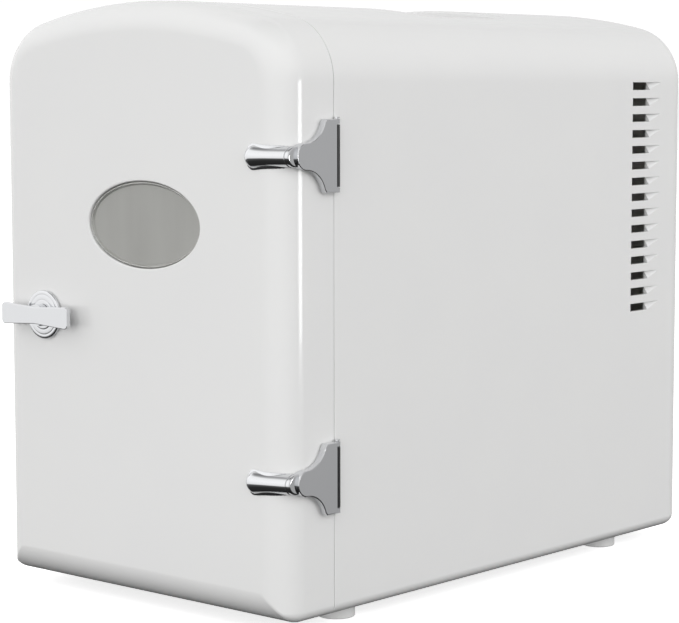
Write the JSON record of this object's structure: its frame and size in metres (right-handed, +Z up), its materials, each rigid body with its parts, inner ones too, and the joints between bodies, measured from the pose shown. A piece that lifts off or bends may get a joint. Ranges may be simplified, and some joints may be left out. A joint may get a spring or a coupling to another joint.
{
  "type": "mini fridge",
  "caption": "Small countertop cooler with an arched top, a side-hinged door with an oval window, a chrome turn latch and chrome strap hinges, a folding carry handle and side vents.",
  "frame": {"origin": "on the standing surface, under the middle of the whole object's bounding box", "axes": "+X to the right of someone facing the door, towards the hinges; +Y from the door to the back; +Z up"},
  "size_m": [0.1814, 0.3124, 0.2686],
  "materials": {
    "white_shell": "polished injection-moulded ABS",
    "white_liner": "satin vacuum-formed lining",
    "chrome_trim": "bright chrome plate on a casting",
    "bright_steel": "zinc-plated steel",
    "black_steel": "black paint",
    "finned_aluminium": "extruded and cut",
    "insulating_foam": "cut foam",
    "seal_rubber": "soft grey seal",
    "window_clear": "polished clear plastic",
    "black_moulding": "fine moulded texture",
    "ceramic_plate": "unglazed alumina",
    "circuit_board": "green solder mask",
    "green_lamp": "tinted clear plastic"
  },
  "bodies": {
    "cabinet": {"ac_inlet": "black_moulding", "cabinet_insulation": "insulating_foam", "cold_block": "finned_aluminium", "cold_sink": "finned_aluminium", "control_board": "circuit_board", "cover_screw_lower_left": "bright_steel", "cover_screw_lower_right": "bright_steel", "cover_screw_upper_left": "bright_steel", "cover_screw_upper_right": "bright_steel", "dc_inlet": "black_moulding", "foot_front_left": "white_shell", "foot_front_right": "white_shell", "foot_rear_left": "white_shell", "foot_rear_right": "white_shell", "foot_screw_front_left": "bright_steel", "foot_screw_front_right": "bright_steel", "foot_screw_rear_left": "bright_steel", "foot_screw_rear_right": "bright_steel", "handle_pin_left": "bright_steel", "handle_pin_right": "bright_steel", "hinge_leaf_lower": "black_steel", "hinge_leaf_upper": "black_steel", "hot_sink": "finned_aluminium", "inner_fan_frame": "black_moulding", "inner_grille": "white_liner", "inner_liner": "white_liner", "latch_keeper": "bright_steel", "leaf_screw_lower": "bright_steel", "leaf_screw_upper": "bright_steel", "outer_shell": "white_shell", "peltier_module": "ceramic_plate", "power_led": "green_lamp", "power_supply": "black_moulding", "rear_cover": "white_shell", "rear_fan_frame": "black_moulding", "shelf": "white_liner", "switch_body": "black_moulding"},
    "door": {"door_outer_panel": "white_shell", "door_inner_panel": "white_liner", "door_insulation": "insulating_foam", "door_gasket": "seal_rubber", "window_outer_pane": "window_clear", "window_inner_pane": "window_clear", "window_sleeve": "white_liner", "hinge_bracket_upper": "chrome_trim", "hinge_bracket_lower": "chrome_trim", "hinge_pin_upper": "chrome_trim", "hinge_pin_lower": "chrome_trim", "bracket_screw_upper": "bright_steel", "bracket_screw_lower": "bright_steel", "latch_rosette": "chrome_trim"},
    "latch": {"latch_handle": "chrome_trim", "latch_spindle": "bright_steel", "latch_cam": "bright_steel", "latch_nut": "bright_steel"},
    "carry_handle": {"carry_handle": "white_shell"},
    "inner_fan": {"inner_fan_rotor": "black_moulding"},
    "rear_fan": {"rear_fan_rotor": "black_moulding"},
    "selector": {"power_switch": "white_shell"}
  },
  "joints": [
    {"name": "door_swing", "type": "hinge", "parent": "cabinet", "child": "door", "pos_m": [0.0889, -0.11675, 0.00607], "axis": [0, 0, 1], "range_deg": [0, 115]},
    {"name": "latch_turn", "type": "hinge", "parent": "door", "child": "latch", "pos_m": [-0.0592, -0.14875, 0.12837], "axis": [0, -1, 0], "range_deg": [0, 90]},
    {"name": "handle_lift", "type": "hinge", "parent": "cabinet", "child": "carry_handle", "pos_m": [-0.0017, 0.04325, 0.25807], "axis": [-1, 0, 0], "range_deg": [0, 90]},
    {"name": "inner_fan_spin", "type": "hinge", "parent": "cabinet", "child": "inner_fan", "pos_m": [-0.0017, 0.02955, 0.14807], "axis": [0, 1, 0], "continuous": true},
    {"name": "rear_fan_spin", "type": "hinge", "parent": "cabinet", "child": "rear_fan", "pos_m": [-0.0017, 0.14215, 0.14807], "axis": [0, 1, 0], "continuous": true},
    {"name": "selector_slide", "type": "slide", "parent": "cabinet", "child": "selector", "axis": [1, 0, 0], "range_m": [-0.0035, 0.0035]}
  ]
}
